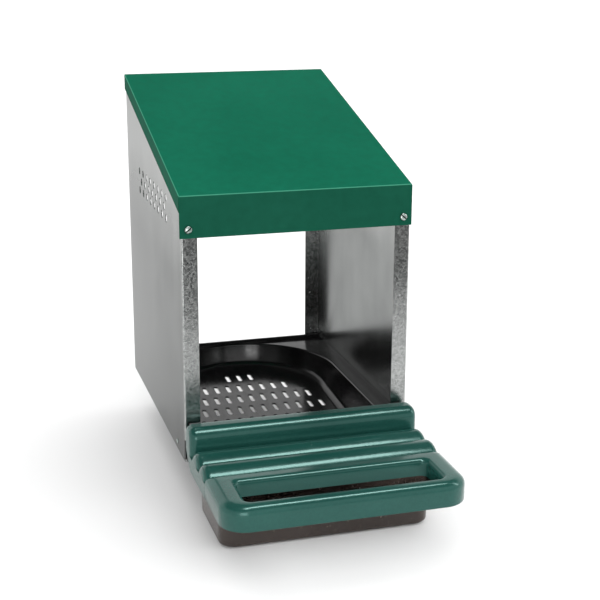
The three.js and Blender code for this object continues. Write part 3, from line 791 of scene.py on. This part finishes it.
def tray():
    """The nest floor: a slotted bowl under a rim with upstands, and a tab at each front corner."""
    low = RIM_Z - TRAY_WALL
    shape = box(-TRAY_HALF, TRAY_HALF, TRAY_FRONT, TRAY_REAR, low, RIM_Z)
    tongue = bowl(TONGUE_END, TRAY_WALL, BOWL_OUTER_FILLET, RIM_Z - 1)
    tongue = cut(tongue, box(-160, 160, -60, 420, TONGUE_SIDE_Z, 60))
    rear = box(-TRAY_HALF + 2, TRAY_HALF - 2, TRAY_REAR - TRAY_WALL, TRAY_REAR, 3.3, UPSTAND_Z)
    pieces = [bowl(TRAY_FRONT, TRAY_WALL, BOWL_OUTER_FILLET, RIM_Z - 1), tongue, rear]
    for side in (-1, 1):
        outer = side * TRAY_HALF
        tab = side * TAB_INNER
        pieces += [
            box(*sorted((outer, side * (TRAY_HALF - TRAY_WALL))), 70, 370, 1.3, RIM_Z),
            box(*sorted((outer, side * (TRAY_HALF - 1.8))), TRAY_FRONT, TRAY_REAR, low, UPSTAND_Z),
            box(*sorted((side * TAB_OUTER, tab)), 1.8, 5.7, TAB_LOW_Z, TAB_HIGH_Z),
            box(*sorted((outer, tab)), 4.7, 10.7, TAB_LOW_Z, TAB_HIGH_Z),
        ]
    shape = join(shape, *pieces)
    return cut(shape, bowl(-60, 0.0, BOWL_INNER_FILLET, RIM_Z + 2, BOWL_LIP_ROUND), slots())


# ---------------------------------------------------------------- perch


def roll_section(inset, end, low):
    """The rolls in section as (y, z) points; end draws the outline in towards a rounded end."""
    rear, front = NECK_REAR_Y - inset - end, NECK_FRONT_Y + inset + end
    radius = NECK_RADIUS - inset - end
    points = [*arc(-18, PIVOT_Z, radius, 0, 90, 14), *arc(-26, PIVOT_Z, radius, 90, 180, 14)]

    def height(y):
        z = FRAME_SPRING_Z
        for centre in STEP_ROLLS_Y:
            off, reach = y - centre, STEP_ROLL_RADIUS - inset - 1.25 * end
            if abs(off) < reach:
                z = max(z, STEP_ROLL_CENTRE_Z + math.sqrt(reach * reach - off * off))
        return z

    count, last = 132, FRAME_REAR_Y - 4
    for i in range(count + 1):
        y = front - 0.02 + (last - front) * i / count
        points.append((y, min(height(y), PIVOT_Z - 1)))
    points.append((last, low))
    if inset:
        return [*points, (rear, low)]
    return [*points, (-36, low), (rear, 31 - 0.875 * end)]


def rolls():
    """The rolls as one solid, their ends rounded like a sausage's."""
    radius, steps = ROLL_END_ROUND, 10
    rounds = []
    for i in range(steps + 1):
        a = math.pi / 2 * i / steps
        rounds.append((HALF - radius + radius * math.sin(a), radius - radius * math.cos(a)))
    stations = [(-x, e) for x, e in reversed(rounds)] + rounds
    return skin([[(x, y, z) for y, z in roll_section(0, e, PERCH_LOW)] for x, e in stations])


def frame_loop(inset):
    """An outline of the frame, from its outer edge at inset 0 to its opening at FRAME_BAR."""
    share = inset / FRAME_BAR
    front_corner = FRAME_FRONT_CORNER + (OPENING_CORNER - FRAME_FRONT_CORNER) * share
    rear_corner = FRAME_REAR_CORNER + (OPENING_CORNER - FRAME_REAR_CORNER) * share
    front = FRAME_FRONT_Y + share * FRAME_FRONT_BAR
    return rounded_rectangle(HALF - inset, front, FRAME_REAR_Y - inset, front_corner, rear_corner, 14)


def frame_ring(path):
    """A bar round the opening; path gives its section as (inset, z) points."""
    return skin([[(x, y, z) for x, y in frame_loop(inset)] for inset, z in path], closed=True)


def perch():
    """The hollow moulding: rolls, frame, ribs, the rod's bore, and a slit for each bracket and clip."""
    quarter = [math.pi * i / 24 for i in range(13)]
    crest = [(15 - 15 * math.cos(a), FRAME_SPRING_Z + 11.2 * math.sin(a)) for a in quarter]
    crest += [(19.5, FRAME_CREST_Z), (24.2, FRAME_CREST_Z)]
    crest += [(24 + 6 * math.sin(a), 27.5 + 6 * math.cos(a)) for a in quarter[1:]]
    outer_foot = [(0.8, 3), (0.25, 3.2), (0, 3.8)]
    inner_foot = [(FRAME_BAR, 12.8), (29.8, 12.2), (29.2, 12), (26, 12), (26, 3)]
    outer = [*outer_foot, *crest, *inner_foot]
    inner = [(15 - 12 * math.cos(a), 20.5 + 9.5 * math.sin(a)) for a in quarter]
    inner += [(24 + 3 * math.sin(a), 27 + 3 * math.cos(a)) for a in quarter]
    solid = rolls()
    slices = [box(x - RIB_HALF_THICK, x + RIB_HALF_THICK, FRAME_REAR_Y, -5, 22, 60) for x in RIB_X]
    ribs = combine("INTERSECT", join(*slices), rolls())
    shape = join(solid, frame_ring(outer))
    wall = HALF - PERCH_WALL
    below = -20
    hollow = prism_x(roll_section(PERCH_WALL, 0, below), -wall, wall)
    hollow = cut(hollow, box(-160, 160, FRAME_REAR_Y - 20, FRAME_REAR_Y - 1, -30, 60))
    hollow = join(
        hollow,
        box(-wall, wall, FRAME_REAR_Y - 8, FRAME_REAR_Y + 2, below, FRAME_SPRING_Z - 1),
        frame_ring([(PERCH_WALL, below), *inner, (FRAME_BAR - PERCH_WALL, below)]),
    )
    shape = join(cut(shape, hollow), ribs)
    nib = turned([(1.5, -1.5), (1.5, 0.25), (1.2, 0.5)], (0, 0, 1), (-2, -67, 34.8), 20)
    shape = join(shape, nib)
    slits = [box(*sorted((s * 135.2, s * 143.2)), -10, 0, 20, 51) for s in (-1, 1)]
    return cut(shape, rod_x(ROD_BORE, -146.9, 146.9, PIVOT_Y, PIVOT_Z), *slits)


def bracket(side):
    """One plate carries the hinge rod on a boss and, lower down, the ledge that the tub slides on."""
    plate = [
        (BRACKET_REAR, BRACKET_FOOT_Z), (BRACKET_REAR, 17), (64, BRACKET_TOP_Z),
        (-17.5, BRACKET_TOP_Z), (-17.5, 38), *arc(PIVOT_Y, PIVOT_Z, BRACKET_BOSS, -50, 230, 36),
        (-30, BRACKET_TOP_Z), (-124, BRACKET_TOP_Z), (BRACKET_END, 15),
        (BRACKET_END, BRACKET_LOW_Z), (8, BRACKET_LOW_Z), (16, BRACKET_FOOT_Z),
    ]
    ledge = sorted((side * 135.6, side * 139.2))
    pad = sorted((side * 141.2, side * 147.4))
    shape = prism_x(plate, *sorted((side * BRACKET_INNER, side * BRACKET_OUTER)))
    shape = join(
        shape,
        box(*ledge, BRACKET_END, -12, BRACKET_LOW_Z, LEDGE_TOP_Z),
        box(*pad, 34, BRACKET_REAR, BRACKET_FOOT_Z, BRACKET_TOP_Z),
    )
    return cut(
        shape,
        rod_x(BRACKET_BORE, *sorted((side * 137, side * 148)), PIVOT_Y, PIVOT_Z),
        rod_x(RIVET_HOLE, *sorted((side * 137, side * 149)), BRACKET_RIVET_Y, BRACKET_RIVET_Z),
    )


# ---------------------------------------------------------------- egg tub


def tub_loop(inset, spare):
    """An outline of the tub; spare makes its corners sharper."""
    front, rear = TUB_FRONT_Y + inset, TUB_REAR_Y - inset
    return rounded_rectangle(TUB_HALF - inset, front, rear, TUB_CORNER - spare, TUB_REAR_CORNER - spare, 12)


def tub_body(wall):
    """The tub's drafted walls and rounded foot; wall sets the inner surface in from the outer."""
    foot, radius = TUB_BOTTOM_Z + wall, TUB_FOOT_ROUND - wall * 0.6
    path = []
    for i in range(9):
        a = math.pi / 2 * (1 - i / 8)
        path.append((TUB_DRAFT + radius - radius * math.cos(a), foot + radius - radius * math.sin(a)))
    path.append((0, TUB_TOP_Z + (2 if wall else 0)))
    return skin([[(x, y, z) for x, y in tub_loop(inset + wall, wall)] for inset, z in path])


def tub():
    """The egg tub: walls, a thin flange on three sides, and a dip in the rear wall."""
    rim = []
    for inset, z in ((0.5, -5.0), (0, -4.6), (0, -3.1), (0.15, -2.75), (0.5, TUB_TOP_Z)):
        half, front = TUB_HALF + TUB_FLANGE - inset, TUB_FRONT_Y - TUB_FLANGE + inset
        corner = TUB_CORNER + TUB_FLANGE - inset
        loop = rounded_rectangle(half, front, TUB_REAR_Y, corner, TUB_REAR_CORNER, 12)
        rim.append([(x, y, z) for x, y in loop])
    middle, centre_z = DIP_HALF - DIP_ROUND, -25
    dip = [
        (-DIP_HALF, DIP_TOP_Z), (-DIP_HALF, centre_z),
        *arc(-middle, centre_z, DIP_ROUND, 180, 270, 8),
        *arc(middle, centre_z, DIP_ROUND, 270, 360, 8),
        (DIP_HALF, DIP_TOP_Z),
    ]
    dip = skin([[(x, y, z) for x, z in dip] for y in (TUB_REAR_Y - 14, TUB_REAR_Y + 5)])
    return cut(join(tub_body(0.0), skin(rim)), tub_body(TUB_WALL), dip)


# ---------------------------------------------------------------- the object

BODY, PERCH, TUB = "body", "perch", "tub"
place(cap(), "cap_fine", BODY, PAINT, "cap_paint", "roof_cap")
place(tray(), "tray_fine", BODY, BLACK, "tray_plastic", "nest_tray", angle=28)
place(tie_bar(), "tie_bar_fine", BODY, ZINC, "galvanised_sheet", "rear_tie_bar")
place(rod(), "rod_fine", PERCH, BRIGHT, "bright_steel", "hinge_rod")
place(perch(), "perch_fine", PERCH, GREEN, "perch_plastic", "perch", angle=34)
place(tub(), "tub_fine", TUB, BROWN, "tub_plastic", "egg_tub")
for hand, side in (("left", -1), ("right", 1)):
    steel = "bright_steel"
    place(panel(side), f"panel_{hand}_fine", BODY, ZINC, "galvanised_sheet", f"side_panel_{hand}")
    place(roof_screw(side), f"screw_{hand}_fine", BODY, BRIGHT, steel, f"roof_screw_{hand}")
    place(roof_nut(side), f"nut_{hand}_fine", BODY, BRIGHT, steel, f"roof_nut_{hand}")
    place(bracket(side), f"bracket_{hand}_fine", BODY, BRACKET, "bracket_plastic", f"perch_bracket_{hand}")
    place(clip(side), f"clip_{hand}_fine", PERCH, BRIGHT, steel, f"rod_clip_{hand}")
    through = rivet((side, 0, 0), 137.9, 11.1, (0, BRACKET_RIVET_Y, BRACKET_RIVET_Z))
    place(through, f"bracket_rivet_{hand}_fine", BODY, BRIGHT, steel, f"bracket_rivet_{hand}")
    back = rivet((0, 1, 0), 386.1, 2.9, (side * TIE_RIVET_X, 0, TIE_RIVET_Z))
    place(back, f"tie_rivet_{hand}_fine", BODY, BRIGHT, steel, f"tie_rivet_{hand}")


# ---------------------------------------------------------------- stage, light and camera


def stage_floor():
    """A pale floor just under the tub.

    It ends about half a metre in front of the object, so that upright faces that look to the front
    reflect the dim part of the world below the horizon.
    """
    far, front, clearance = 12.0, -1.15, 0.0005
    z = (TUB_BOTTOM_Z - (REAR_HEIGHT - LIP / 2)) / 1000 - clearance
    mesh = bpy.data.meshes.new("stage_floor")
    mesh.from_pydata([(-far, front, z), (far, front, z), (far, far, z), (-far, far, z)], [], [(0, 1, 2, 3)])
    floor = bpy.data.objects.new("stage_floor", mesh)
    bpy.context.scene.collection.objects.link(floor)
    paint = Shader("stage_floor", Roughness=0.9)
    paint.surface.inputs["Base Color"].default_value = (0.95, 0.95, 0.95, 1)
    mesh.materials.append(paint.material)


def area_light(name, at, aim, width, height, power):
    """A rectangular light that only makes highlights."""
    light = bpy.data.lights.new(name, "AREA")
    light.shape = "RECTANGLE"
    light.size, light.size_y = width, height
    light.energy = power
    lamp = bpy.data.objects.new(name, light)
    lamp.location = at
    lamp.rotation_mode = "QUATERNION"
    lamp.rotation_quaternion = (Vector(aim) - Vector(at)).to_track_quat("-Z", "Y")
    lamp.visible_camera = False
    lamp.visible_diffuse = False
    lamp.visible_transmission = False
    bpy.context.scene.collection.objects.link(lamp)


def soft_sun(name, towards, spread, strength):
    """A very wide sun that lights from one side and doesn't show in gloss or through plastic."""
    light = bpy.data.lights.new(name, "SUN")
    light.angle, light.energy = math.radians(spread), strength
    lamp = bpy.data.objects.new(name, light)
    lamp.rotation_mode = "QUATERNION"
    lamp.rotation_quaternion = (-Vector(towards)).to_track_quat("-Z", "Y")
    lamp.visible_glossy = False
    lamp.visible_transmission = False
    bpy.context.scene.collection.objects.link(lamp)


def studio_world():
    """White behind the object; surfaces reflect a room that is bright from the horizon to 30 degrees up."""
    world = bpy.data.worlds.new("studio")
    bpy.context.scene.world = world
    world.use_nodes = True
    nodes, links = world.node_tree.nodes, world.node_tree.links
    room = nodes["Background"]
    white = nodes.new("ShaderNodeBackground")
    white.inputs["Color"].default_value = (1, 1, 1, 1)
    split = nodes.new("ShaderNodeSeparateXYZ")
    links.new(nodes.new("ShaderNodeTexCoord").outputs["Generated"], split.inputs["Vector"])
    ramp = nodes.new("ShaderNodeValToRGB")
    # Height of view, 0 straight down and 1 straight up, and the room's grey there.
    steps = ((0.0, 0.2), (0.46, 0.28), (0.5, 1.0), (0.74, 1.0), (0.8, 0.1), (1.0, 0.1))
    spare = ramp.color_ramp.elements
    while len(spare) < len(steps):
        spare.new(0.5)
    for element, (position, grey) in zip(spare, steps):
        element.position, element.color = position, (grey, grey, grey, 1)
    rise = nodes.new("ShaderNodeMapRange")
    rise.inputs["From Min"].default_value = -1
    links.new(split.outputs["Z"], rise.inputs["Value"])
    links.new(rise.outputs["Result"], ramp.inputs["Fac"])
    links.new(ramp.outputs["Color"], room.inputs["Color"])
    choose = nodes.new("ShaderNodeMixShader")
    links.new(nodes.new("ShaderNodeLightPath").outputs["Is Camera Ray"], choose.inputs[0])
    links.new(room.outputs["Background"], choose.inputs[1])
    links.new(white.outputs["Background"], choose.inputs[2])
    links.new(choose.outputs["Shader"], nodes["World Output"].inputs["Surface"])


stage_floor()
area_light("overhead_strip", (0.25, -1.05, 1.75), (0, -0.45, -0.35), width=1.7, height=0.6, power=46)
area_light("side_strip", (1.9, -0.9, 0.75), (0, -0.3, -0.25), width=0.25, height=1.3, power=8)
area_light("low_card", (-0.37, -1.3, -0.3), (0.14, 0, -0.2), width=0.4, height=0.4, power=2.0)
soft_sun("dome_right", (0.95, 0.2, 1.5), spread=130, strength=2.8)
soft_sun("dome_left", (-0.5, 0.0, 1.6), spread=160, strength=0.85)
studio_world()
bpy.context.scene.view_settings.view_transform = "Standard"

lens = bpy.data.cameras.new("camera")
lens.lens, lens.sensor_width = 77.4, 36
lens.clip_start, lens.clip_end = 0.1, 100
camera = bpy.data.objects.new("camera", lens)
right = Vector((0.95900, -0.28338, 0.00395))
down = Vector((-0.07489, -0.26681, -0.96083))
ahead = Vector((0.27333, 0.92115, -0.27709))
turn = Matrix((right, -down, -ahead)).transposed()
stand = Matrix.Translation((-0.4423, -1.8887, 0.2155))
camera.matrix_world = stand @ turn.to_4x4()
bpy.context.scene.collection.objects.link(camera)
bpy.context.scene.camera = camera
